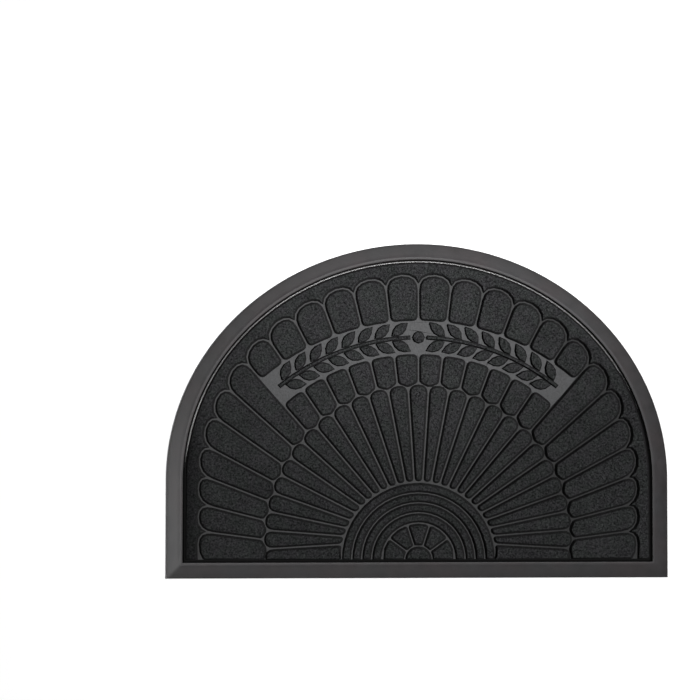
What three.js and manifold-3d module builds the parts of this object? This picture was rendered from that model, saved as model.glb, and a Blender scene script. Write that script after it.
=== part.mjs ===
// Half round doormat: a moulded rubber tray with a bevelled border holds an embossed pile carpet.
// Millimetres, +Z up. The origin lies under the middle of the mat, and the straight edge faces -Y.
// The carpet is flat, with its pattern standing as pads of pile between pressed grooves: a fan of
// rays and petals that grows from the middle of the straight edge, with a band of leaves near the top.
import * as THREE from "three";
import { mergeVertices } from "three/addons/utils/BufferGeometryUtils.js";
import Module from "manifold-3d";

// The whole mat
const MAT_WIDTH = 600;
const MAT_DEPTH = 400;
const SIDE_LENGTH = 118; // straight stretch of each side, from the front corner to the arch
const ARCH_DIVISIONS = 36; // three.js puts two steps in each division of an ellipse

// Rubber tray, from its outer edge inwards
const TRAY_FLOOR = 2;
const EDGE_HEIGHT = 1.6;
const BEVEL_WIDTH = 17;
const RIDGE_HEIGHT = 7;
const RIDGE_WIDTH = 2.3;
const SEAM_WIDTH = 1.2; // narrow groove between the ridge and the bead
const SEAM_FLOOR = 4.2;
const BEAD_WIDTH = 2;
const BEAD_HEIGHT = 5.8;
const BEAD_ROUND = 0.5;

// Pile carpet
const CLEARANCE = 0.3;
const PRESSED_THICKNESS = 1.2; // where the pattern is pressed flat
const PILE_HEIGHT = 2.2; // how far the pads stand above that
const GROOVE = 3;
const CURVE_DIVISIONS = 4;
const RING_DIVISIONS = 12;

// Fan pattern: angles are degrees from straight ahead, radii start at the middle of the front edge
const FAN_OFFSET = 22; // the fan's centre, from the mat's front edge
const PETAL_COUNT = 26;
const PETAL_PITCH = 6.87;
const PETAL_TIP_INSET = 39; // from the mat's outer edge to the tips of the petals
const PETAL_TIP_ROUND = 17;
const PETAL_FOOT_ROUND = 3;
const PETAL_POINT_ROUND = 4;
const RAY_FOOT_PITCH = 6.3;
const RAY_FOOT_RADIUS = 94;
const RAY_FOOT_ROUND = 4;
const RAY_TIP_ROUND = 10;
const RAY_RING_RADIUS = 185; // circle through the tips of the rays
const RAY_RING_RAISE = 25; // how far ahead of the fan's centre that circle is centred
const FOOT_RISE = 0.4; // extra room between the sides of the petals' feet and the rays
const FOOT_SINK = 5.5; // how far each petal's foot points down between two rays
const LAST_PETAL_ANGLE = 91; // just past the front edge, which cuts the fan off
const FAN_EDGE_ANGLE = 100; // well past it

// Sun at the fan's centre
const RING_GROOVE = 2.6;
const RING_RADII = [43.8, 56, 67.9, 79.7, 92.2]; // middles of the ring grooves
const SUN_RADIUS = 16.6; // middle of the groove round the half disc
const SECTOR_COUNT = 5;
const SECTOR_ROUND = 3.5;

// Leaf band, on pressed ground
const BAND_PETALS = 12; // petals that the band interrupts
const BAND_INNER_RADIUS = 245;
const BAND_OUTER_RADIUS = 286;
const CUT_ROUND = 6; // round corners of the petals that the band cuts short
const STEM_RADIUS = 265.5;
const STEM_WIDTH = 4;
const STEM_START_ANGLE = 2.2;
const STEM_END_ANGLE = 38.8;
const LEAF_PAIRS_A_SIDE = 8;
const LEAF_PITCH = 4.35;
const FIRST_LEAF_ANGLE = 6.8;
const LEAF_LENGTH = 24.5;
const LEAF_WIDTH = 12;
const LEAF_BELLY = 0.45; // how far along the leaf it is widest
const LEAF_TILT = 34; // degrees between a leaf and the stem
const BUD_RADIUS = 7;

const HALF_WIDTH = MAT_WIDTH / 2;
const FRONT_Y = -MAT_DEPTH / 2;
const ARCH_Y = FRONT_Y + SIDE_LENGTH;
const ARCH_RISE = MAT_DEPTH - SIDE_LENGTH;
const FAN_Y = FRONT_Y + FAN_OFFSET;
const RIDGE_INSET = BEVEL_WIDTH + RIDGE_WIDTH;
const BEAD_INSET = RIDGE_INSET + SEAM_WIDTH;
const TRAY_INSET = BEAD_INSET + BEAD_WIDTH;
const CARPET_INSET = TRAY_INSET + CLEARANCE;
const CARPET_BOTTOM = TRAY_FLOOR + CLEARANCE;
const GROUND_Z = CARPET_BOTTOM + PRESSED_THICKNESS;
const PILE_Z = GROUND_Z + PILE_HEIGHT;

const wasm = await Module();
wasm.setup();

const radians = THREE.MathUtils.degToRad;

// The half round outline, moved in from the mat's outer edge.
function matShape(inset) {
  const x = HALF_WIDTH - inset;
  const shape = new THREE.Shape();
  shape.moveTo(-x, FRONT_Y + inset);
  shape.lineTo(x, FRONT_Y + inset);
  shape.lineTo(x, ARCH_Y);
  shape.absellipse(0, ARCH_Y, x, ARCH_RISE - inset, 0, Math.PI, false);
  shape.closePath();
  return shape;
}

function matOutline(inset) {
  const points = matShape(inset).getPoints(ARCH_DIVISIONS);
  if (points[0].equals(points[points.length - 1])) points.pop();
  return points;
}

// A closed body through outlines with the same number of points, from its underside upwards.
function lofted(levels) {
  const count = levels[0].outline.length;
  const positions = levels.flatMap(({ outline, z }) => outline.flatMap((p) => [p.x, p.y, z]));
  const faces = [];
  for (let level = 0; level < levels.length - 1; level++) {
    for (let i = 0; i < count; i++) {
      const a = level * count + i;
      const b = level * count + ((i + 1) % count);
      faces.push(a, b, b + count, a, b + count, a + count);
    }
  }
  const top = (levels.length - 1) * count;
  for (const [a, b, c] of THREE.ShapeUtils.triangulateShape(levels[0].outline, [])) {
    faces.push(c, b, a, top + a, top + b, top + c);
  }
  const geometry = new THREE.BufferGeometry();
  geometry.setAttribute("position", new THREE.Float32BufferAttribute(positions, 3));
  geometry.setIndex(faces);
  return geometry;
}

function solidFrom(geometry) {
  const bare = geometry.clone();
  bare.deleteAttribute("normal");
  bare.deleteAttribute("uv");
  const merged = mergeVertices(bare, 1e-4);
  const mesh = new wasm.Mesh({
    numProp: 3,
    vertProperties: new Float32Array(merged.attributes.position.array),
    triVerts: new Uint32Array(merged.index.array),
  });
  return new wasm.Manifold(mesh);
}

function geometryFrom(solid) {
  const mesh = solid.getMesh();
  const geometry = new THREE.BufferGeometry();
  geometry.setAttribute("position", new THREE.Float32BufferAttribute(mesh.vertProperties, mesh.numProp));
  geometry.setIndex(new THREE.BufferAttribute(mesh.triVerts, 1));
  geometry.computeVertexNormals();
  return geometry;
}

// Shapes as upright walls between two heights.
function upright(shapes, bottom, top, divisions = CURVE_DIVISIONS) {
  const options = { depth: top - bottom, bevelEnabled: false, curveSegments: divisions };
  return solidFrom(new THREE.ExtrudeGeometry(shapes, options).translate(0, 0, bottom));
}

// A point of the fan.
function fanPoint(radius, angle) {
  const turn = radians(angle);
  return new THREE.Vector2(radius * Math.sin(turn), FAN_Y + radius * Math.cos(turn));
}

// The radius at which a line from the fan's centre meets the mat's outline, moved in by an inset.
function rimRadius(angle, inset) {
  const sine = Math.abs(Math.sin(radians(angle)));
  const cosine = Math.cos(radians(angle));
  const halfWidth = HALF_WIDTH - inset;
  const rise = ARCH_RISE - inset;
  const straight = halfWidth / sine;
  if (FAN_Y + straight * cosine < ARCH_Y) return straight;
  const back = FAN_Y - ARCH_Y;
  const a = (sine / halfWidth) ** 2 + (cosine / rise) ** 2;
  const b = (back * cosine) / rise ** 2;
  const c = (back / rise) ** 2 - 1;
  return (-b + Math.sqrt(b * b - a * c)) / a;
}

// The radius of the ring at the tips of the rays.
function rayRingRadius(angle) {
  const across = RAY_RING_RAISE * Math.sin(radians(angle));
  return RAY_RING_RAISE * Math.cos(radians(angle)) + Math.sqrt(RAY_RING_RADIUS ** 2 - across ** 2);
}

// A closed shape whose corners are rounded off: each curve starts and ends a way from its corner.
function roundedShape(corners) {
  const shape = new THREE.Shape();
  const towards = (from, to, way) => {
    const length = from.distanceTo(to);
    return way < length ? from.clone().lerp(to, way / length) : to.clone();
  };
  corners.forEach(({ point, before, after }, i) => {
    const previous = corners[(i + corners.length - 1) % corners.length].point;
    const next = corners[(i + 1) % corners.length].point;
    const start = towards(point, previous, before);
    if (i === 0) shape.moveTo(start.x, start.y);
    else shape.lineTo(start.x, start.y);
    if (before > 0) {
      const end = towards(point, next, after);
      shape.quadraticCurveTo(point.x, point.y, end.x, end.y);
    }
  });
  shape.closePath();
  return shape;
}

// One side of a cell: the line between two cells, moved in by half a groove.
function cellSide(foot, tip, groove, direction) {
  const along = tip.clone().sub(foot).normalize();
  const inwards = new THREE.Vector2(along.y, -along.x).multiplyScalar((direction * groove) / 2);
  return { foot: foot.clone().add(inwards), tip: tip.clone().add(inwards) };
}

// A pad between two lines of the fan, with a round foot and a round tip. Each round says how far
// its curve runs up the side; the reach says how far it runs across the end, which is halfway
// unless it is given. The point round softens the middle of the foot.
function cell({ left, right, foot, tip, groove, footRound, tipRound, footReach, tipReach, pointRound }) {
  const leftSide = cellSide(left[0], left[1], groove, 1);
  const rightSide = cellSide(right[0], right[1], groove, -1);
  const tipWay = tipReach ?? Infinity;
  const footWay = footReach ?? Infinity;
  return roundedShape([
    { point: leftSide.tip, before: tipRound, after: tipWay },
    { point: tip, before: 0, after: 0 },
    { point: rightSide.tip, before: tipWay, after: tipRound },
    { point: rightSide.foot, before: footRound, after: footWay },
    { point: foot, before: pointRound ?? 0, after: pointRound ?? 0 },
    { point: leftSide.foot, before: footWay, after: footRound },
  ]);
}

// The angle halfway across each petal. Petals stand half a pitch away from the rays.
function petalMiddle(index) {
  return (index - (PETAL_COUNT - 1) / 2) * PETAL_PITCH;
}

// A cell of the fan from one radius to another, each given as a function of the angle.
function fanCell({ middle, edges, footRadius, tipRadius, footSink = 0, groove = GROOVE, ...rounds }) {
  const line = (angle) => [fanPoint(footRadius(angle), angle), fanPoint(tipRadius(angle), angle)];
  return cell({
    left: line(edges[0]),
    right: line(edges[1]),
    foot: fanPoint(footRadius(middle) - footSink, middle),
    tip: fanPoint(tipRadius(middle), middle),
    groove,
    ...rounds,
  });
}

// The petals: whole ones at the sides, and a tip and a foot on either side of the leaf band.
function petalPads() {
  const tip = (angle) => rimRadius(angle, PETAL_TIP_INSET);
  const foot = (angle) => rayRingRadius(angle) + GROOVE / 2 + FOOT_RISE;
  const pads = [];
  for (let index = 0; index < PETAL_COUNT; index++) {
    const middle = petalMiddle(index);
    const edges = [middle - PETAL_PITCH / 2, middle + PETAL_PITCH / 2];
    if (index === 0) edges[0] = -LAST_PETAL_ANGLE;
    if (index === PETAL_COUNT - 1) edges[1] = LAST_PETAL_ANGLE;
    const span = { middle, edges };
    const footEnd = {
      footRadius: foot,
      footSink: FOOT_SINK,
      footRound: PETAL_FOOT_ROUND,
      footReach: PETAL_FOOT_ROUND,
      pointRound: PETAL_POINT_ROUND,
    };
    const tipEnd = { tipRadius: tip, tipRound: PETAL_TIP_ROUND };
    if (Math.abs(middle) < (BAND_PETALS / 2) * PETAL_PITCH) {
      const cutTip = { tipRadius: () => BAND_INNER_RADIUS, tipRound: CUT_ROUND, tipReach: CUT_ROUND };
      const cutFoot = { footRadius: () => BAND_OUTER_RADIUS, footRound: CUT_ROUND, footReach: CUT_ROUND };
      pads.push(fanCell({ ...span, ...footEnd, ...cutTip }));
      pads.push(fanCell({ ...span, ...cutFoot, ...tipEnd }));
    } else {
      pads.push(fanCell({ ...span, ...footEnd, ...tipEnd }));
    }
  }
  return pads;
}

// Everything inside the plain band of pile: each petal grown by a groove and drawn out to the
// fan's centre, and beyond the front edge at both ends.
function insideTheBand() {
  const last = PETAL_COUNT - 1;
  const wedges = [];
  for (let index = 0; index <= last; index++) {
    const middle = petalMiddle(index);
    const left = index === 0 ? -FAN_EDGE_ANGLE : middle - PETAL_PITCH / 2;
    const right = index === last ? FAN_EDGE_ANGLE : middle + PETAL_PITCH / 2;
    wedges.push(
      fanCell({
        middle,
        edges: [left, right],
        footRadius: () => SUN_RADIUS / 2,
        tipRadius: (angle) => rimRadius(angle, PETAL_TIP_INSET - GROOVE),
        footRound: GROOVE / 2,
        tipRound: PETAL_TIP_ROUND + GROOVE,
        groove: -GROOVE,
      }),
    );
  }
  return wedges;
}

// The rays: one more than the petals, closer together at their feet than at their tips. The outer
// two run on past the front edge, where the carpet is cut off.
function rayPads() {
  const pads = [];
  const last = PETAL_COUNT / 2;
  for (let index = -last; index <= last; index++) {
    const line = (edge) => {
      const side = index + edge;
      if (Math.abs(side) > last) {
        const angle = Math.sign(side) * FAN_EDGE_ANGLE;
        return [fanPoint(RAY_FOOT_RADIUS, angle), fanPoint(rayRingRadius(angle), angle)];
      }
      const tipAngle = side * PETAL_PITCH;
      const foot = fanPoint(RAY_FOOT_RADIUS, side * RAY_FOOT_PITCH);
      return [foot, fanPoint(rayRingRadius(tipAngle) - GROOVE / 2, tipAngle)];
    };
    const middle = index * PETAL_PITCH;
    pads.push(
      cell({
        left: line(-0.5),
        right: line(0.5),
        foot: fanPoint(RAY_FOOT_RADIUS, index * RAY_FOOT_PITCH),
        tip: fanPoint(rayRingRadius(middle) - GROOVE / 2, middle),
        footRound: RAY_FOOT_ROUND,
        tipRound: RAY_TIP_ROUND,
        groove: GROOVE,
      }),
    );
  }
  return pads;
}

// A half ring round the fan's centre.
function halfRing(inner, outer) {
  const shape = new THREE.Shape();
  shape.absarc(0, FAN_Y, outer, 0, Math.PI, false);
  shape.absarc(0, FAN_Y, inner, Math.PI, 0, true);
  shape.closePath();
  return shape;
}

// The rings of the sun and the half disc in its middle.
function sunRings() {
  const half = RING_GROOVE / 2;
  const rings = RING_RADII.slice(1).map((radius, i) => halfRing(RING_RADII[i] + half, radius - half));
  const disc = new THREE.Shape();
  disc.absarc(0, FAN_Y, SUN_RADIUS - half, 0, Math.PI, false);
  return [...rings, disc];
}

// The ring of sectors round the half disc.
function sunSectors() {
  const pads = [];
  const sector = 180 / SECTOR_COUNT;
  const inner = SUN_RADIUS + RING_GROOVE / 2;
  const outer = RING_RADII[0] - RING_GROOVE / 2;
  for (let index = 0; index < SECTOR_COUNT; index++) {
    const middle = (index - (SECTOR_COUNT - 1) / 2) * sector;
    const edges = [middle - sector / 2, middle + sector / 2];
    if (index === 0) edges[0] = -FAN_EDGE_ANGLE;
    if (index === SECTOR_COUNT - 1) edges[1] = FAN_EDGE_ANGLE;
    pads.push(
      fanCell({
        middle,
        edges,
        footRadius: () => inner,
        tipRadius: () => outer,
        footRound: SECTOR_ROUND / 2,
        footReach: SECTOR_ROUND / 2,
        tipRound: SECTOR_ROUND,
        tipReach: SECTOR_ROUND,
        groove: RING_GROOVE,
      }),
    );
  }
  return pads;
}

// A pointed leaf that grows from the stem at an angle. Its side is 1 beyond the stem, -1 below it,
// and its way is 1 where it points to growing angles.
function leafPad(angle, side, way) {
  const base = fanPoint(STEM_RADIUS + side * (STEM_WIDTH / 2 + RING_GROOVE / 2), angle);
  const turn = radians(90 - angle) + way * radians(-90) + way * side * radians(LEAF_TILT);
  const along = new THREE.Vector2(Math.cos(turn), Math.sin(turn));
  const across = new THREE.Vector2(-along.y, along.x);
  const tip = base.clone().addScaledVector(along, LEAF_LENGTH);
  const belly = base.clone().addScaledVector(along, LEAF_LENGTH * LEAF_BELLY);
  const left = belly.clone().addScaledVector(across, LEAF_WIDTH);
  const right = belly.clone().addScaledVector(across, -LEAF_WIDTH);
  const shape = new THREE.Shape();
  shape.moveTo(base.x, base.y);
  shape.quadraticCurveTo(right.x, right.y, tip.x, tip.y);
  shape.quadraticCurveTo(left.x, left.y, base.x, base.y);
  return shape;
}

// The garland: a stem in two halves with leaves in pairs, which all point to a bud in the middle.
function garlandPads() {
  const pads = [];
  const bud = new THREE.Shape();
  bud.absarc(0, FAN_Y + STEM_RADIUS, BUD_RADIUS, 0, 2 * Math.PI, false);
  pads.push(bud);
  const stemInner = STEM_RADIUS - STEM_WIDTH / 2;
  const stemOuter = STEM_RADIUS + STEM_WIDTH / 2;
  for (const half of [-1, 1]) {
    const [from, to] = [STEM_START_ANGLE, STEM_END_ANGLE].map((angle) => radians(90 - half * angle));
    const stem = new THREE.Shape();
    stem.absarc(0, FAN_Y, stemOuter, from, to, half > 0);
    stem.absarc(0, FAN_Y, stemInner, to, from, half < 0);
    stem.closePath();
    pads.push(stem);
    for (let pair = 0; pair < LEAF_PAIRS_A_SIDE; pair++) {
      const angle = half * (FIRST_LEAF_ANGLE + pair * LEAF_PITCH);
      for (const side of [-1, 1]) pads.push(leafPad(angle, side, -half));
    }
  }
  return pads;
}

// The moulded tray: a bevelled border with a flat ridge, a seam, a bead and a level floor.
function rubberTray() {
  const profile = [
    { inset: 0, z: 0 },
    { inset: 0, z: EDGE_HEIGHT },
    { inset: BEVEL_WIDTH, z: RIDGE_HEIGHT },
    { inset: RIDGE_INSET, z: RIDGE_HEIGHT },
    { inset: RIDGE_INSET, z: SEAM_FLOOR },
    { inset: BEAD_INSET, z: SEAM_FLOOR },
    { inset: BEAD_INSET, z: BEAD_HEIGHT - BEAD_ROUND },
    { inset: BEAD_INSET + BEAD_ROUND, z: BEAD_HEIGHT },
    { inset: TRAY_INSET - BEAD_ROUND, z: BEAD_HEIGHT },
    { inset: TRAY_INSET, z: BEAD_HEIGHT - BEAD_ROUND },
    { inset: TRAY_INSET, z: TRAY_FLOOR },
  ];
  return lofted(profile.map(({ inset, z }) => ({ outline: matOutline(inset), z })));
}

// The embossed carpet: a pressed sheet with the pads of pile on it, all cut to the tray's outline.
function pileCarpet() {
  const sheet = upright(matShape(CARPET_INSET), CARPET_BOTTOM, GROUND_Z, ARCH_DIVISIONS);
  const pileBottom = CARPET_BOTTOM + PRESSED_THICKNESS / 2;
  const blank = upright(matShape(CARPET_INSET), pileBottom, PILE_Z, ARCH_DIVISIONS);
  const below = pileBottom - PRESSED_THICKNESS;
  const above = PILE_Z + PRESSED_THICKNESS;
  const inside = insideTheBand().map((wedge) => upright(wedge, below, above));
  const rim = inside.reduce((rest, wedge) => rest.subtract(wedge), blank);
  const pads = upright([...petalPads(), ...rayPads(), ...sunSectors(), ...garlandPads()], below, above)
    .add(upright(sunRings(), below, above, RING_DIVISIONS))
    .intersect(blank);
  return geometryFrom(sheet.add(rim).add(pads));
}

const rubber = new THREE.MeshStandardMaterial({ color: 0x454446, roughness: 0.55, metalness: 0 });
const pile = new THREE.MeshStandardMaterial({ color: 0x2a2c2b, roughness: 1, metalness: 0 });

const tray = new THREE.Mesh(rubberTray(), rubber);
tray.name = "rubber_tray";
const carpet = new THREE.Mesh(pileCarpet(), pile);
carpet.name = "pile_carpet";

const doormat = new THREE.Group();
doormat.add(tray, carpet);

export default doormat;
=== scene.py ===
# Half round doormat: a moulded rubber border round a carpet of short pile, pressed with a fan pattern.
# Millimetres are used for the object's own sizes and turned into metres where a mesh is made.
import math

import bmesh
import bpy
import numpy as np
from mathutils import Matrix, Vector, noise
from mathutils.bvhtree import BVHTree


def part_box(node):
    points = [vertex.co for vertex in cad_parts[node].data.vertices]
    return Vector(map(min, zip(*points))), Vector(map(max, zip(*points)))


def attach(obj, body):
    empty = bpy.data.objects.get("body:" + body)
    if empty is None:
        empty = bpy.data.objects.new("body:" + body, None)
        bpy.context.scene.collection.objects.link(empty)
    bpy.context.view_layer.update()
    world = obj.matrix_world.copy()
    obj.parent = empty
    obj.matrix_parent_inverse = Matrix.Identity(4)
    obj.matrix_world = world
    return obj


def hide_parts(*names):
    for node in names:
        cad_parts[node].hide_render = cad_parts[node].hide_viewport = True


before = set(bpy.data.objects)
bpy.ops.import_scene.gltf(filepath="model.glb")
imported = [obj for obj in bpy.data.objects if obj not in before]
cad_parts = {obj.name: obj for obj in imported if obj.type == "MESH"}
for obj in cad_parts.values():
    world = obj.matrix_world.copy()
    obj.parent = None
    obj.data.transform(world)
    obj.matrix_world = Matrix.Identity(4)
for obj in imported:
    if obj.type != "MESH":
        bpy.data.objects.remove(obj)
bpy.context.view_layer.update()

MM = 0.001

# Lengths that the solids are built from
SIDE_LENGTH = 118
PRESSED_THICKNESS = 1.2
FAN_OFFSET = 22

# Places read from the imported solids
TRAY_LOW, TRAY_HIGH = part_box("rubber_tray")
CARPET_LOW, CARPET_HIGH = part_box("pile_carpet")
HALF_WIDTH = TRAY_HIGH.x / MM
FRONT_Y = TRAY_LOW.y / MM
BACK_Y = TRAY_HIGH.y / MM
ARCH_Y = FRONT_Y + SIDE_LENGTH
FAN_Y = FRONT_Y + FAN_OFFSET
PILE_Z = CARPET_HIGH.z / MM
CARPET_BOTTOM = CARPET_LOW.z / MM
GROUND_Z = CARPET_BOTTOM + PRESSED_THICKNESS

# Stations round the outline
FRONT_STEPS = 150
SIDE_STEPS = 30
ARCH_STEPS = 240

# The border's section: how far in from the outer edge, how high, and which finish starts there; the
# seam's near-black finish is a painted shade
RUBBER, BEAD, SEAM = 0, 1, 2
SECTION = [
    (0.5, 0.0, RUBBER),
    (0.12, 0.12, RUBBER),
    (0.0, 0.5, RUBBER),
    (0.0, 1.2, RUBBER),
    (0.18, 1.62, RUBBER),
    (0.7, 1.85, RUBBER),
    (4.0, 2.85, RUBBER),
    (8.0, 4.1, RUBBER),
    (12.0, 5.35, RUBBER),
    (15.0, 6.32, RUBBER),
    (15.9, 6.75, RUBBER),
    (16.6, 7.0, RUBBER),
    (18.6, 7.0, RUBBER),
    (19.05, 6.93, RUBBER),
    (19.35, 6.7, RUBBER),
    (19.4, 6.3, SEAM),
    (19.45, 2.6, SEAM),
    (20.35, 2.6, SEAM),
    (20.4, 4.5, BEAD),
    (20.6, 4.85, BEAD),
    (21.2, 5.13, BEAD),
    (21.8, 5.3, BEAD),
    (22.25, 5.36, BEAD),
    (22.55, 5.25, BEAD),
    (22.75, 4.8, RUBBER),
    (22.75, 2.0, RUBBER),
]
# The bead stands up along the arch only, and is sunk by so much at the sides and the front
BEAD_INSET, BEAD_WIDTH = 20.4, 2.35
BEAD_LOW = 4.0
BEAD_SINK = 1.3
# Where it starts to rise and where it is up, in degrees round the arch from either side
BEAD_RISE_LEFT = (6, 30)
BEAD_RISE_RIGHT = (12, 66)
# Where it ends, as a height above the arch's foot, and how far it takes to run out over its width
BEAD_END_LEFT = (12, 14)
BEAD_END_RIGHT = (70, 26)

SHARP_ANGLE = math.radians(40)


def outline(inset):
    """The half round outline as points, moved in from the mat's edge."""
    x = HALF_WIDTH - inset
    low = FRONT_Y + inset
    rise = BACK_Y - ARCH_Y - inset
    points = [(x * (2 * i / FRONT_STEPS - 1), low) for i in range(FRONT_STEPS)]
    points += [(x, low + (ARCH_Y - low) * i / SIDE_STEPS) for i in range(SIDE_STEPS)]
    for i in range(ARCH_STEPS):
        turn = math.pi * i / ARCH_STEPS
        points.append((x * math.cos(turn), ARCH_Y + rise * math.sin(turn)))
    points += [(-x, ARCH_Y - (ARCH_Y - low) * i / SIDE_STEPS) for i in range(SIDE_STEPS)]
    return points


def bead_sinks():
    """How far the bead sinks at each point of the outline."""
    sinks = []
    for x, y in outline(0):
        turn = math.degrees(math.asin(max(0.0, y - ARCH_Y) / (BACK_Y - ARCH_Y)))
        start, full = BEAD_RISE_RIGHT if x > 0 else BEAD_RISE_LEFT
        share = min(max((turn - start) / (full - start), 0), 1)
        sinks.append(BEAD_SINK * (1 - share))
    return sinks


def past_the_bead(face):
    """Whether a face of the bead lies below its ends, where it runs out to a point at the seam."""
    centre = face.calc_center_median() / MM
    turn = math.asin(min(max((centre.y - ARCH_Y) / (BACK_Y - ARCH_Y - BEAD_INSET), 0), 1))
    width = HALF_WIDTH - abs(centre.x) / math.cos(turn) - BEAD_INSET
    foot, taper = BEAD_END_RIGHT if centre.x > 0 else BEAD_END_LEFT
    return centre.y < ARCH_Y + foot + taper * min(width, BEAD_WIDTH)


def ring_edges(bm, ring):
    return [bm.edges.get(pair) for pair in zip(ring, ring[1:] + ring[:1])]


def drawn_on(bm, ring, points, levels, finish):
    """Extrudes a ring of edges to the next level of the section and returns the new ring."""
    made = bmesh.ops.extrude_edge_only(bm, edges=ring_edges(bm, ring))["geom"]
    old = set(ring)
    mates = {}
    for part in made:
        if isinstance(part, bmesh.types.BMVert):
            for edge in part.link_edges:
                if edge.other_vert(part) in old:
                    mates[edge.other_vert(part)] = part
        elif isinstance(part, bmesh.types.BMFace):
            part.material_index = finish
    fresh = [mates[v] for v in ring]
    for vert, (x, y), z in zip(fresh, points, levels):
        vert.co = (x * MM, y * MM, z * MM)
    return fresh


def linked(name, data):
    """A new object in the scene."""
    made = bpy.data.objects.new(name, data)
    bpy.context.scene.collection.objects.link(made)
    return made


def finished(bm, name, materials):
    """Makes the object of a bmesh, smooth but for its sharp edges."""
    mesh = bpy.data.meshes.new(name)
    bm.to_mesh(mesh)
    bm.free()
    for material in materials:
        mesh.materials.append(material)
    mesh.shade_smooth()
    mesh.set_sharp_from_angle(angle=SHARP_ANGLE)
    return linked(name, mesh)


# Shader helpers
def feed(tree, socket, value):
    """Links another node's output to a socket, or sets the socket's own value."""
    if isinstance(value, bpy.types.NodeSocket):
        tree.links.new(value, socket)
    else:
        socket.default_value = value


def placed(tree, kind, values=(), **settings):
    """Adds a node. Values are its input sockets by name or number, settings its own properties."""
    made = tree.nodes.new(kind)
    for name, value in settings.items():
        setattr(made, name, value)
    for name, value in dict(values).items():
        feed(tree, made.inputs[name], value)
    return made


def feed_node(tree, node, **sockets):
    """Links or sets the sockets of a node, named with underscores for spaces."""
    for name, value in sockets.items():
        feed(tree, node.inputs[name.replace("_", " ")], value)


def maths(tree, operation, *values):
    return placed(tree, "ShaderNodeMath", dict(enumerate(values)), operation=operation).outputs[0]


def mixed(tree, factor, first, second, blend="MIX"):
    """A colour between two others, or with a blend, the first with so much of the second on it."""
    values = {0: factor, 6: first, 7: second}
    return placed(tree, "ShaderNodeMix", values, data_type="RGBA", blend_type=blend).outputs[2]


def node_group(name, inputs, outputs):
    """An empty shader group with its sockets, and the nodes that stand for its two ends."""
    tree = bpy.data.node_groups.new(name, "ShaderNodeTree")
    for label, (kind, value) in inputs.items():
        socket = tree.interface.new_socket(label, in_out="INPUT", socket_type=kind)
        socket.default_value = value
    for label, kind in outputs.items():
        tree.interface.new_socket(label, in_out="OUTPUT", socket_type=kind)
    return tree, placed(tree, "NodeGroupInput"), placed(tree, "NodeGroupOutput")


def material(name):
    made = bpy.data.materials.new(name)
    made.use_nodes = True
    tree = made.node_tree
    tree.nodes.clear()
    shader = placed(tree, "ShaderNodeBsdfPrincipled")
    out = placed(tree, "ShaderNodeOutputMaterial")
    tree.links.new(shader.outputs["BSDF"], out.inputs["Surface"])
    return made, tree, shader


def ranged(tree, value, low, high):
    """A value from 0 at low to 1 at high."""
    return placed(tree, "ShaderNodeMapRange", {0: value, 1: low, 2: high}).outputs[0]


def noise_at(tree, place, size_mm, detail=2.0, rough=0.5):
    """Noise with lumps of about that size, as a value round one half."""
    values = {"Vector": place, "Scale": 1 / (size_mm * MM), "Detail": detail, "Roughness": rough}
    return placed(tree, "ShaderNodeTexNoise", values).outputs["Fac"]


FLOAT = "NodeSocketFloat"
# Sizes of the lumps in the finishes
CLUMP_SIZE, FIBRE_SIZE, PATCH_SIZE, HEATHER_SIZE = 2.6, 1.5, 38, 14
CLOUD_SIZE, SPECK_SIZE, WARM_SIZE = 13, 2, 45
# Heights between which the rubber grows paler
PALING_LOW, PALING_HIGH = 2, 7


def grain_group():
    """Grain of the pile: clumps of fibres, soft patches where the nap lies another way, and a tint."""
    inputs = {"Grain": (FLOAT, 1.0), "Patches": (FLOAT, 0.3)}
    outputs = {"Shade": FLOAT, "Tint": FLOAT, "Height": FLOAT}
    tree, given, result = node_group("pile_grain", inputs, outputs)
    place = placed(tree, "ShaderNodeTexCoord").outputs["Object"]
    clumps = maths(tree, "SUBTRACT", noise_at(tree, place, CLUMP_SIZE, 1.0), 0.5)
    fine = maths(tree, "SUBTRACT", noise_at(tree, place, FIBRE_SIZE, 0.0), 0.5)
    broad = maths(tree, "SUBTRACT", noise_at(tree, place, PATCH_SIZE), 0.5)
    height = maths(tree, "ADD", clumps, maths(tree, "MULTIPLY", fine, 0.8))
    grain = maths(tree, "MULTIPLY", height, given.outputs["Grain"])
    patches = maths(tree, "MULTIPLY", broad, given.outputs["Patches"])
    shade = maths(tree, "ADD", maths(tree, "ADD", grain, patches), 0.5)
    clamped = placed(tree, "ShaderNodeClamp", {"Value": shade}).outputs[0]
    tint = ranged(tree, noise_at(tree, place, HEATHER_SIZE, 1.0), 0.38, 0.62)
    feed_node(tree, result, Shade=clamped, Tint=tint, Height=height)
    return tree


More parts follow.
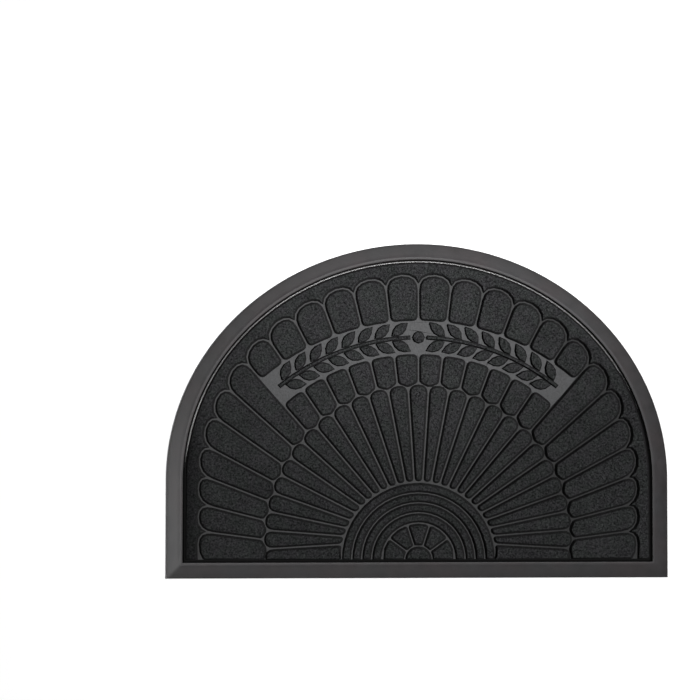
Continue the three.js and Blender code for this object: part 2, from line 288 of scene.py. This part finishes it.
def scuff_group():
    """Finish of the rubber: cloudy patches, fine grain, and a paler colour on the higher parts."""
    inputs = {"Clouds": (FLOAT, 0.5), "Bloom": (FLOAT, 0.3)}
    outputs = {"Shade": FLOAT, "Tint": FLOAT, "Roughness": FLOAT, "Height": FLOAT}
    tree, given, result = node_group("rubber_scuff", inputs, outputs)
    place = placed(tree, "ShaderNodeTexCoord").outputs["Object"]
    level = placed(tree, "ShaderNodeSeparateXYZ", {"Vector": place}).outputs["Z"]
    clouds = maths(tree, "SUBTRACT", noise_at(tree, place, CLOUD_SIZE, 3.0, 0.6), 0.5)
    specks = maths(tree, "SUBTRACT", noise_at(tree, place, SPECK_SIZE, 2.0, 0.6), 0.5)
    raised = ranged(tree, level, PALING_LOW * MM, PALING_HIGH * MM)
    mottle = maths(tree, "ADD", clouds, maths(tree, "MULTIPLY", specks, 0.5))
    mottle = maths(tree, "MULTIPLY", mottle, given.outputs["Clouds"])
    paling = maths(tree, "MULTIPLY", raised, given.outputs["Bloom"])
    shade = maths(tree, "ADD", maths(tree, "ADD", mottle, paling), 0.3)
    clamped = placed(tree, "ShaderNodeClamp", {"Value": shade}).outputs[0]
    cloudy, speckled = maths(tree, "MULTIPLY", clouds, 0.16), maths(tree, "MULTIPLY", specks, 0.12)
    gloss = maths(tree, "ADD", cloudy, speckled)
    tint = ranged(tree, noise_at(tree, place, WARM_SIZE, 1.0), 0.35, 0.65)
    feed_node(tree, result, Shade=clamped, Tint=tint, Roughness=gloss, Height=specks)
    return tree


PILE_GRAIN = grain_group()
RUBBER_SCUFF = scuff_group()


def grouped(tree, group, **values):
    """Places a shader group with its own values."""
    made = placed(tree, "ShaderNodeGroup", node_tree=group)
    feed_node(tree, made, **values)
    return made.outputs


def bumped(tree, height, depth_mm):
    values = {"Strength": 1.0, "Distance": depth_mm * MM, "Height": height}
    return placed(tree, "ShaderNodeBump", values).outputs[0]


def across(tree, first, last, start, end, axis="X"):
    """A value that runs from first to last between two places, in millimetres along an axis."""
    place = placed(tree, "ShaderNodeTexCoord").outputs["Object"]
    level = placed(tree, "ShaderNodeSeparateXYZ", {"Vector": place}).outputs[axis]
    values = {0: level, 1: start * MM, 2: end * MM, 3: first, 4: last}
    return placed(tree, "ShaderNodeMapRange", values).outputs[0]


BLACK = (0, 0, 0, 1)
WARM_TINT = (1.12, 0.98, 0.98, 1)
HEATHER = (1.045, 0.982, 1.04, 1)
PALE_TINT = (0.99, 1.0, 1.0, 1)
SCUFF_DEPTH = 0.06
# Stretches over which a finish changes, along X at the left rim and on the right half, where painted
# shade darkens the pile and grooves, and up the arch
LEFT_RIM = (-274, -250)
RIGHT_HALF = (20, 170)
ARCH_FOOT = (ARCH_Y + 10, ARCH_Y + 100)


def pile_material(name, dark, light, tint, grain, patches, roughness, bump, left=1.0, right=1.0):
    """Pile in shades between two colours. Left and right are how light it is at those sides, a painted
    shade.
    """
    made, tree, shader = material(name)
    out = grouped(tree, PILE_GRAIN, Grain=grain, Patches=patches)
    colour = mixed(tree, out["Shade"], (*dark, 1), (*light, 1))
    # Painted shade: the colour darkens towards the left rim and across the right half
    if left < 1:
        colour = mixed(tree, across(tree, left, 1.0, *LEFT_RIM), BLACK, colour)
    if right < 1:
        colour = mixed(tree, across(tree, 1.0, right, *RIGHT_HALF), BLACK, colour)
    colour = mixed(tree, out["Tint"], colour, tint, "MULTIPLY")
    relief = bumped(tree, out["Height"], bump)
    feed_node(tree, shader, Base_Color=colour, Roughness=roughness, Normal=relief, Specular_IOR_Level=0.0)
    return made


def rubber_material(name, dark, light, clouds, paling, roughness, dull=0.0, **sockets):
    """Rubber in shades between two colours. Dull is how much rougher it is at the arch's foot."""
    made, tree, shader = material(name)
    out = grouped(tree, RUBBER_SCUFF, Clouds=clouds, Bloom=paling)
    colour = mixed(tree, out["Shade"], (*dark, 1), (*light, 1))
    colour = mixed(tree, out["Tint"], colour, WARM_TINT, "MULTIPLY")
    rough = maths(tree, "ADD", out["Roughness"], roughness)
    if dull > 0:
        rough = maths(tree, "ADD", rough, across(tree, dull, 0.0, *ARCH_FOOT, axis="Y"))
    relief = bumped(tree, out["Height"], SCUFF_DEPTH)
    feed_node(tree, shader, Base_Color=colour, Roughness=rough, Normal=relief, **sockets)
    return made


def flat_material(name, colour, roughness, **sockets):
    made, tree, shader = material(name)
    feed_node(tree, shader, Base_Color=(*colour, 1), Roughness=roughness, **sockets)
    return made


rubber = rubber_material(
    "moulded_rubber", (0.008, 0.0078, 0.008), (0.03, 0.029, 0.0305),
    clouds=0.7, paling=0.35, roughness=0.5
)
bead_rubber = rubber_material(
    "bead_rubber", (0.008, 0.0076, 0.0076), (0.017, 0.016, 0.016),
    clouds=0.5, paling=0.2, roughness=0.35, dull=0.5, Specular_IOR_Level=1.0, IOR=1.8
)
# Near-black rubber in the narrow seam inside the ridge: painted shade
seam_painted_shade = flat_material("seam_painted_shade", (0.004, 0.004, 0.004), 0.9, Specular_IOR_Level=0.1)
# The pile is painted darker at the left rim, a painted shade
pile = pile_material(
    "pile", (0.0088, 0.0094, 0.0093), (0.037, 0.0394, 0.039), HEATHER,
    grain=1.4, patches=0.4, roughness=1.0, bump=0.5, left=0.45
)
# Darker pile on the pads' walls and shoulders: partly the denser pile there, partly painted shade in the
# grooves
edge_pile = pile_material(
    "edge_pile", (0.003, 0.0031, 0.0031), (0.0165, 0.017, 0.0169), HEATHER,
    grain=0.7, patches=0.2, roughness=1.0, bump=0.3
)
# Near-black pile for the walls that face away from the key on the right half: painted shade
shaded_pile = pile_material(
    "shaded_pile", (0.0022, 0.0023, 0.0023), (0.008, 0.0082, 0.0081), HEATHER,
    grain=0.7, patches=0.2, roughness=1.0, bump=0.3
)
# The pressed ground in the narrow grooves, painted darker than in the band as painted shade, and darker
# still at the left rim and on the right half
groove = pile_material(
    "groove", (0.037, 0.037, 0.037), (0.068, 0.068, 0.069), PALE_TINT,
    grain=0.5, patches=0.3, roughness=0.8, bump=0.2, left=0.5, right=0.6
)
pressed = pile_material(
    "pressed_pile", (0.046, 0.046, 0.047), (0.085, 0.085, 0.087), PALE_TINT,
    grain=0.6, patches=0.4, roughness=0.7, bump=0.2
)


def face_rank(face, vert_count):
    """A number from a face's first corners, which puts the faces in the same order each run."""
    first, second, third = sorted(vert.index for vert in face.verts)[:3]
    return (first * vert_count + second) * vert_count + third


# The rubber border with its floor
def rubber_border():
    bm = bmesh.new()
    first = outline(SECTION[0][0])
    ring = [bm.verts.new((x * MM, y * MM, SECTION[0][1] * MM)) for x, y in first]
    for a, b in zip(ring, ring[1:] + ring[:1]):
        bm.edges.new((a, b))
    bottom = ring_edges(bm, ring)
    finish = SECTION[0][2]
    sinks = bead_sinks()
    for inset, z, next_finish in SECTION[1:]:
        beaded = BEAD in (finish, next_finish) and z > BEAD_LOW
        levels = [z - sink if beaded else z for sink in sinks]
        ring = drawn_on(bm, ring, outline(inset), levels, finish)
        finish = next_finish
    bmesh.ops.contextual_create(bm, geom=bottom)
    bmesh.ops.contextual_create(bm, geom=ring_edges(bm, ring))
    bmesh.ops.recalc_face_normals(bm, faces=bm.faces)
    bm.verts.index_update()
    bm.faces.sort(key=lambda face: face_rank(face, len(bm.verts)))
    # Past its ends the bead takes the seam's near-black finish, a painted shade
    for face in bm.faces:
        if face.material_index == BEAD and past_the_bead(face):
            face.material_index = SEAM
    return finished(bm, "rubber_border", [rubber, bead_rubber, seam_painted_shade])


border = rubber_border()
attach(border, "root")
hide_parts("rubber_tray")


# The carpet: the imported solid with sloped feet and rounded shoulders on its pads
# Shoulders of the pads and of the leaves, in steps: how far in and how far up
PAD_STEPS = [(0.6, 0.7), (0.7, 0.4), (0.7, 0.2)]
LEAF_STEPS = [(0.3, 0.7), (0.35, 0.4), (0.35, 0.2)]
TUFT_RISE = 0.5
# How far the feet spread into the grooves, and how much more where they face left on the right half
FOOT_SPREAD = 0.7
SHADE_SPREAD = 0.6
MITRE_LIMIT = 0.6
# The pressed band with the leaves, from the fan's centre
BAND_LOW, BAND_HIGH = 243, 288
BAND_HALF_ANGLE = math.radians(41.2)
# Finishes, and where a wall that faces left gets the near-black shaded pile, a painted shade
PILE, EDGE, SHADED, GROOVE, PRESSED = 0, 1, 2, 3, 4
SHADED_FROM = 60
SHADED_NORMAL = -0.25
# Normals of a wall at most, of a top at least, and the range that is shaded smooth
WALL_NORMAL = 0.3
TOP_NORMAL = 0.99
SMOOTH_NORMALS = (-0.2, 0.985)
# Distances within which corners are one, or lie on a line or a level
WELD = 0.005
SLACK = 0.02
GROUND_SLACK = 0.05
TOP_SLACK = 0.1
# How far above the ground a face still belongs to it
GROUND_REACH = 0.2
# Lengths of an arc's last piece that is too short for the shoulders
SHORT_ENDS = (0.2, 1.0)


def in_the_band(centre):
    """Whether a point of the pressed ground lies in the leaf band rather than in a narrow groove."""
    x, y = centre.x / MM, centre.y / MM - FAN_Y
    return BAND_LOW < math.hypot(x, y) < BAND_HIGH and abs(math.atan2(x, y)) < BAND_HALF_ANGLE


def spread_feet(bm):
    """Moves the feet of the pads out into the grooves, so that their walls slope."""
    start, end = RIGHT_HALF
    ways = {}
    for vert in bm.verts:
        if abs(vert.co.z / MM - GROUND_Z) > GROUND_SLACK:
            continue
        walls = [face.normal for face in vert.link_faces if abs(face.normal.z) < WALL_NORMAL]
        if len(walls) > 1:
            way = sum(walls, Vector()).normalized()
            share = min(max((vert.co.x / MM - start) / (end - start), 0), 1)
            shade = SHADE_SPREAD * share * max(-way.x, 0)
            reach = (FOOT_SPREAD + shade) / max(way.dot(walls[0]), MITRE_LIMIT)
            ways[vert] = way * reach * MM
    for vert, way in ways.items():
        vert.co += way


def join_short_ends(bm, level):
    """Joins the short last pieces of arcs on the tops to the front line, where shoulders would cross."""
    joins = {}
    line = CARPET_LOW.y + SLACK * MM
    for edge in bm.edges:
        near, far = sorted(edge.verts, key=lambda vert: vert.co.y)
        if min(near.co.z, far.co.z) > level and near.co.y < line < far.co.y:
            if SHORT_ENDS[0] < edge.calc_length() / MM < SHORT_ENDS[1]:
                joins[far] = near
    bmesh.ops.weld_verts(bm, targetmap=joins)


def raise_tops(bm, tops, steps):
    """Draws the tops of pads in and up, step by step, so that they end in rounded shoulders."""
    for inward, upward in steps:
        bmesh.ops.inset_individual(
            bm, faces=tops, thickness=inward * MM, depth=upward * MM, use_even_offset=False
        )


def finish_of(face):
    """The finish of a face of the carpet, by its height, its place and the way it faces."""
    heights = [vert.co.z / MM for vert in face.verts]
    centre = face.calc_center_median()
    # Narrow grooves take the darker groove finish, a painted shade
    if max(heights) < GROUND_Z + GROUND_REACH:
        return PRESSED if in_the_band(centre) else GROOVE
    if min(heights) > PILE_Z - TUFT_RISE - SLACK:
        return PILE
    # Walls on the right half that face away from the key take the painted shade
    away = face.normal.x < SHADED_NORMAL and centre.x > SHADED_FROM * MM
    return SHADED if away else EDGE


def embossed_carpet():
    bm = bmesh.new()
    bm.from_mesh(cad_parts["pile_carpet"].data)
    bmesh.ops.remove_doubles(bm, verts=bm.verts, dist=WELD * MM)
    bm.normal_update()
    level = (PILE_Z - TOP_SLACK) * MM
    high = [v for v in bm.verts if v.co.z > level]
    flat = [e for e in bm.edges if min(v.co.z for v in e.verts) > level]
    bmesh.ops.dissolve_limit(bm, angle_limit=math.radians(1), verts=high, edges=flat)
    join_short_ends(bm, level)
    bm.normal_update()
    spread_feet(bm)
    high = [v for v in bm.verts if v.co.z > level]
    drop = (TUFT_RISE + sum(upward for _, upward in PAD_STEPS)) * MM
    bmesh.ops.translate(bm, verts=high, vec=(0, 0, -drop))
    level -= drop
    tops = [f for f in bm.faces if f.normal.z > TOP_NORMAL and min(v.co.z for v in f.verts) > level]
    leaves = [f for f in tops if in_the_band(f.calc_center_median())]
    raise_tops(bm, leaves, LEAF_STEPS)
    raise_tops(bm, [f for f in tops if f not in leaves], PAD_STEPS)
    bmesh.ops.triangulate(bm, faces=bm.faces)
    bm.normal_update()
    for face in bm.faces:
        face.smooth = SMOOTH_NORMALS[0] < face.normal.z < SMOOTH_NORMALS[1]
        face.material_index = finish_of(face)
    mesh = bpy.data.meshes.new("embossed_carpet")
    bm.to_mesh(mesh)
    bm.free()
    for finish in (pile, edge_pile, shaded_pile, groove, pressed):
        mesh.materials.append(finish)
    return linked("embossed_carpet", mesh)


carpet = embossed_carpet()
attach(carpet, "root")
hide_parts("pile_carpet")

# The pile: short pointed tufts on the pads, in a few joined meshes
TUFT_PITCH = 1.3
TUFT_SLOPE = 0.985
TUFT_RADIUS = 0.66
TUFT_LENGTH = 1.5
TUFT_SINK = 0.6
TUFT_LEAN = 0.7
TUFT_JITTER = 0.3
TUFT_SPREAD = (0.85, 1.15)
TUFT_PIECES = 3
CLUMP = 2.8
LUMP_RISE = 0.5
RAY_HEIGHT = 5
# Heights in the noise from which the tufts lean and rise, and seeds of the random draws
LEAN_LAYERS = (3, 15)
LUMP_LAYER = 9
PLACE_SEED, SHAPE_SEED = 7, 11


def tuft_places():
    """Where tufts stand on the carpet: their feet and the way they point, in millimetres."""
    rng = np.random.default_rng(PLACE_SEED)
    surface = BVHTree.FromPolygons(
        [v.co / MM for v in carpet.data.vertices],
        [tuple(f.vertices) for f in carpet.data.polygons],
    )
    finishes = [f.material_index for f in carpet.data.polygons]
    low, high = CARPET_LOW / MM, CARPET_HIGH / MM
    row_pitch = TUFT_PITCH * math.sqrt(3) / 2
    feet, ways = [], []
    down = Vector((0, 0, -1))
    for row in range(int((high.y - low.y) / row_pitch) + 1):
        shift = (row % 2) * TUFT_PITCH / 2
        for column in range(int((high.x - low.x) / TUFT_PITCH) + 1):
            jitter = rng.uniform(-TUFT_JITTER, TUFT_JITTER, 2) * TUFT_PITCH
            x = low.x + column * TUFT_PITCH + shift + jitter[0]
            y = low.y + row * row_pitch + jitter[1]
            spot, normal, face, _ = surface.ray_cast(Vector((x, y, PILE_Z + RAY_HEIGHT)), down)
            if spot is None or finishes[face] >= GROOVE or normal.z < TUFT_SLOPE:
                continue
            leans = [noise.noise(Vector((x, y, layer)) / CLUMP) * TUFT_LEAN for layer in LEAN_LAYERS]
            way = Vector((normal.x + leans[0], normal.y + leans[1], normal.z))
            lump = noise.noise(Vector((x, y, LUMP_LAYER)) / CLUMP) * LUMP_RISE
            feet.append(spot - normal * (TUFT_SINK - lump))
            ways.append(way.normalized())
    return np.array(feet), np.array(ways)


def joined_tufts(name, feet, ways, rng):
    """Three-sided tufts in one mesh, each closed by its own foot."""
    count = len(feet)
    side = np.cross(ways, [0.0, 1.0, 0.1])
    side /= np.linalg.norm(side, axis=1, keepdims=True)
    other = np.cross(ways, side)
    turn = rng.uniform(0, 2 * math.pi, count)
    radius = TUFT_RADIUS * rng.uniform(*TUFT_SPREAD, count)
    length = TUFT_LENGTH * rng.uniform(*TUFT_SPREAD, count)
    points = np.empty((count, 4, 3))
    for corner in range(3):
        angle = turn + corner * 2 * math.pi / 3
        points[:, corner] = (
            feet
            + side * (radius * np.cos(angle))[:, None]
            + other * (radius * np.sin(angle))[:, None]
        )
    points[:, 3] = feet + ways * length[:, None]
    pattern = np.array([(0, 1, 3), (1, 2, 3), (2, 0, 3), (2, 1, 0)])
    faces = (np.arange(count)[:, None, None] * 4 + pattern).reshape(-1, 3)
    mesh = bpy.data.meshes.new(name)
    mesh.vertices.add(count * 4)
    mesh.vertices.foreach_set("co", (points * MM).ravel())
    mesh.loops.add(faces.size)
    mesh.loops.foreach_set("vertex_index", faces.ravel().astype(np.int32))
    mesh.polygons.add(len(faces))
    mesh.polygons.foreach_set("loop_start", np.arange(len(faces), dtype=np.int32) * 3)
    mesh.update(calc_edges=True)
    flat = mesh.uv_layers.new(name="OFBake")
    spots = points.reshape(-1, 3)[faces.ravel()][:, :2]
    spread = (spots - spots.min(0)) / (spots.max(0) - spots.min(0)).max()
    flat.data.foreach_set("uv", spread.astype(np.float32).ravel())
    mesh.materials.append(pile)
    piece = linked(name, mesh)
    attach(piece, "root")
    return piece


def pile_tufts():
    feet, ways = tuft_places()
    rng = np.random.default_rng(SHAPE_SEED)
    made = []
    for index in range(TUFT_PIECES):
        part = slice(index * len(feet) // TUFT_PIECES, (index + 1) * len(feet) // TUFT_PIECES)
        made.append(joined_tufts(f"pile_tufts_{index + 1}", feet[part], ways[part], rng))
    return made


tufts = pile_tufts()


# The floor, a hair below the mat, in metres
FLOOR_HALF_SIZE = 4
FLOOR_DROP = 0.0002


def pale_floor():
    bm = bmesh.new()
    below = Matrix.Translation((0, 0, -FLOOR_DROP))
    bmesh.ops.create_grid(bm, x_segments=1, y_segments=1, size=FLOOR_HALF_SIZE, matrix=below)
    return finished(bm, "floor", [flat_material("pale_floor", (0.93, 0.93, 0.93), 0.9)])


floor = pale_floor()


# The camera, almost straight above
CAMERA_AT = Vector((-0.1157, 0.0400, 1.4388))
CAMERA_RIGHT = Vector((0.99972, 0.00111, 0.02346))
CAMERA_UP = Vector((-0.00164, 0.99975, 0.02246))
FRAME_PIXELS = 700
FOCAL_PIXELS = 1200
SENSOR_WIDTH = 36


def photo_camera():
    data = bpy.data.cameras.new("camera")
    data.sensor_width = SENSOR_WIDTH
    data.lens = SENSOR_WIDTH * FOCAL_PIXELS / FRAME_PIXELS
    data.clip_start = 0.01
    made = linked("camera", data)
    back = CAMERA_RIGHT.cross(CAMERA_UP)
    axes = Matrix((CAMERA_RIGHT, CAMERA_UP, back)).transposed().to_4x4()
    made.matrix_world = Matrix.Translation(CAMERA_AT) @ axes
    bpy.context.scene.camera = made


photo_camera()


# The lights: a far key and a soft pool from the right, and panels and a strip that the rubber reflects
MIDDLE = (0, 0, 0)
KEY_ANGLES = (14, 44)
KEY_DISTANCE = 12
PANEL_ELEVATION = 50
PANEL_DISTANCE = 2.3
STRIP_AT = (0.2, 0.85, 2.1)
POOL_AIM = (0, 0.14, 0)
POOL_RADIUS = 0.23
STRIP_AIM = (0, 0.1, 0)
SKY_STRENGTH = 0.09


def aimed(data, place, aim, glossy, diffuse):
    """A light in the scene, turned to a point. Glossy and diffuse say what it shows in."""
    made = linked(data.name, data)
    made.location = place
    made.rotation_euler = (Vector(aim) - Vector(place)).to_track_quat("-Z", "Y").to_euler()
    made.visible_glossy = glossy
    made.visible_diffuse = diffuse


def panel(name, place, aim, size, power, glossy=True, diffuse=True):
    data = bpy.data.lights.new(name, "AREA")
    data.shape = "RECTANGLE"
    data.size, data.size_y = size
    data.energy = power
    aimed(data, place, aim, glossy, diffuse)


def pool(name, place, aim, radius, power):
    """A far spotlight with a soft edge, its pool of that radius across the beam."""
    data = bpy.data.lights.new(name, "SPOT")
    data.energy = power
    data.spot_size = 2 * math.atan(radius / (Vector(place) - Vector(aim)).length)
    data.spot_blend = 1.0
    data.shadow_soft_size = 0.08
    aimed(data, place, aim, glossy=False, diffuse=True)


def from_angles(azimuth, elevation, distance):
    """A place by its azimuth from +X, its elevation, and its distance from the mat's middle."""
    turn, rise = math.radians(azimuth), math.radians(elevation)
    flat = distance * math.cos(rise)
    return (flat * math.cos(turn), flat * math.sin(turn), distance * math.sin(rise))


key_place = from_angles(*KEY_ANGLES, KEY_DISTANCE)
left_place = from_angles(197, PANEL_ELEVATION, PANEL_DISTANCE)
front_place = from_angles(270, PANEL_ELEVATION, PANEL_DISTANCE)
panel("key", key_place, MIDDLE, (0.9, 0.9), power=2220, glossy=False)
pool("pool", key_place, POOL_AIM, POOL_RADIUS, power=6600)
panel("left_panel", left_place, MIDDLE, (1.0, 1.2), power=28, diffuse=False)
panel("front_panel", front_place, MIDDLE, (2.0, 0.8), power=7, diffuse=False)
panel("top_strip", STRIP_AT, STRIP_AIM, (2.0, 0.2), power=40, diffuse=False)

world = bpy.data.worlds.new("sky")
world.use_nodes = True
world.node_tree.nodes["Background"].inputs["Color"].default_value = (1, 1, 1, 1)
world.node_tree.nodes["Background"].inputs["Strength"].default_value = SKY_STRENGTH
bpy.context.scene.world = world
bpy.context.scene.view_settings.view_transform = "Standard"
